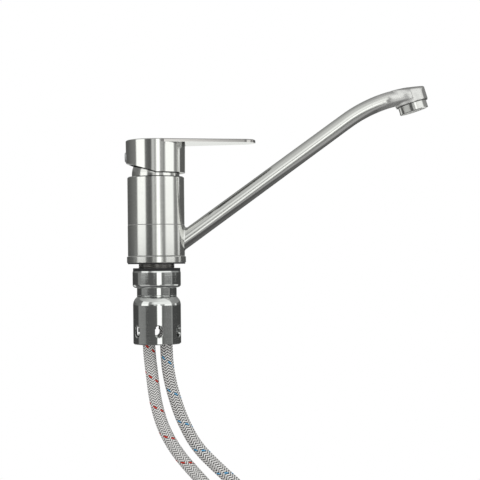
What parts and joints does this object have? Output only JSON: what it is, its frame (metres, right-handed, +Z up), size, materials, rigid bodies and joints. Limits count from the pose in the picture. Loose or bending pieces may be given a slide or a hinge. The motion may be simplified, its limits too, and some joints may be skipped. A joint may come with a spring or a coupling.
{
  "type": "single-lever sink mixer tap",
  "caption": "Single-lever deck mixer with a long angled swivel spout, a paddle lever over the body, an under-deck barrel nut and braided supply tails.",
  "frame": {"origin": "centre of the base's seat, on the top of the deck", "axes": "+Z up along the body's axis, +X towards the spout at rest, +Y across it"},
  "size_m": [0.2703, 0.053, 0.5183],
  "materials": {
    "satin_steel": "vertically satin-brushed stainless steel",
    "polished_steel": "bright turned stainless steel",
    "plain_steel": "plain machined steel",
    "brass": "machined brass",
    "plated_brass": "nickel-plated brass",
    "black_rubber": "matt black rubber",
    "white_plastic": "white acetal",
    "cartridge_plastic": "moulded cartridge plastic",
    "ceramic": "lapped white ceramic",
    "indicator_plastic": "silver-grey plastic",
    "red_traced_braid": "stainless braid with a red tracer thread",
    "blue_traced_braid": "stainless braid with a blue tracer thread"
  },
  "bodies": {
    "mixer": {"base_gasket": "black_rubber", "base_ring": "satin_steel", "lower_slip_ring": "white_plastic", "upper_slip_ring": "white_plastic", "main_body": "satin_steel", "spout_seals": "black_rubber", "threaded_shank": "plain_steel", "under_deck_gasket": "black_rubber", "clamp_cup": "polished_steel", "barrel_nut": "polished_steel", "cartridge_base": "cartridge_plastic", "cartridge_seals": "black_rubber", "cartridge_housing": "cartridge_plastic", "fixed_ceramic_disc": "ceramic", "retaining_nut": "brass", "dome_cap": "satin_steel", "tail_seals": "black_rubber", "hot_hose_tail": "brass", "hot_hose_ferrule": "plain_steel", "hot_hose": "red_traced_braid", "hot_hose_end_ferrule": "plain_steel", "hot_hose_nipple": "brass", "hot_hose_washer": "black_rubber", "cold_hose_tail": "brass", "cold_hose_ferrule": "plain_steel", "cold_hose": "blue_traced_braid", "cold_hose_end_ferrule": "plain_steel", "cold_hose_nipple": "brass", "cold_hose_washer": "black_rubber"},
    "spout": {"spout_sleeve": "satin_steel", "spout_tube": "satin_steel", "outlet_boss": "satin_steel", "aerator_housing": "polished_steel", "aerator_washer": "black_rubber", "aerator_insert": "white_plastic", "aerator_screen": "plain_steel"},
    "spindle": {"spindle_carrier": "cartridge_plastic", "stem_pin": "plain_steel"},
    "lever": {"cartridge_stem": "brass", "lever_handle": "satin_steel", "grub_screw": "plain_steel", "indicator_plug": "indicator_plastic"},
    "disc": {"moving_ceramic_disc": "ceramic", "disc_carrier": "cartridge_plastic"},
    "hot_nut": {"hot_hose_union_nut": "plated_brass"},
    "cold_nut": {"cold_hose_union_nut": "plated_brass"}
  },
  "joints": [
    {"name": "spout_swivel", "type": "hinge", "parent": "mixer", "child": "spout", "pos_m": [0, 0, 0.021], "axis": [0, 0, 1], "continuous": true},
    {"name": "lever_turn", "type": "hinge", "parent": "mixer", "child": "spindle", "pos_m": [0, 0, 0.08], "axis": [0, 0, 1], "range_deg": [-50, 50]},
    {"name": "lever_lift", "type": "hinge", "parent": "spindle", "child": "lever", "pos_m": [0, 0, 0.08], "axis": [0, -1, 0], "range_deg": [0, 22]},
    {"name": "disc_slide", "type": "slide", "parent": "spindle", "child": "disc", "axis": [1, 0, 0], "range_m": [0, 0.0069]},
    {"name": "hot_nut_turn", "type": "hinge", "parent": "mixer", "child": "hot_nut", "pos_m": [0.08965, 0, -0.35475], "axis": [0, 0, 1], "continuous": true},
    {"name": "cold_nut_turn", "type": "hinge", "parent": "mixer", "child": "cold_nut", "pos_m": [0.12295, 0, -0.34465], "axis": [0, 0, 1], "continuous": true}
  ],
  "couplings": [
    {"joint": "disc_slide", "follows": "lever_lift", "m_per_rad": 0.01789}
  ]
}
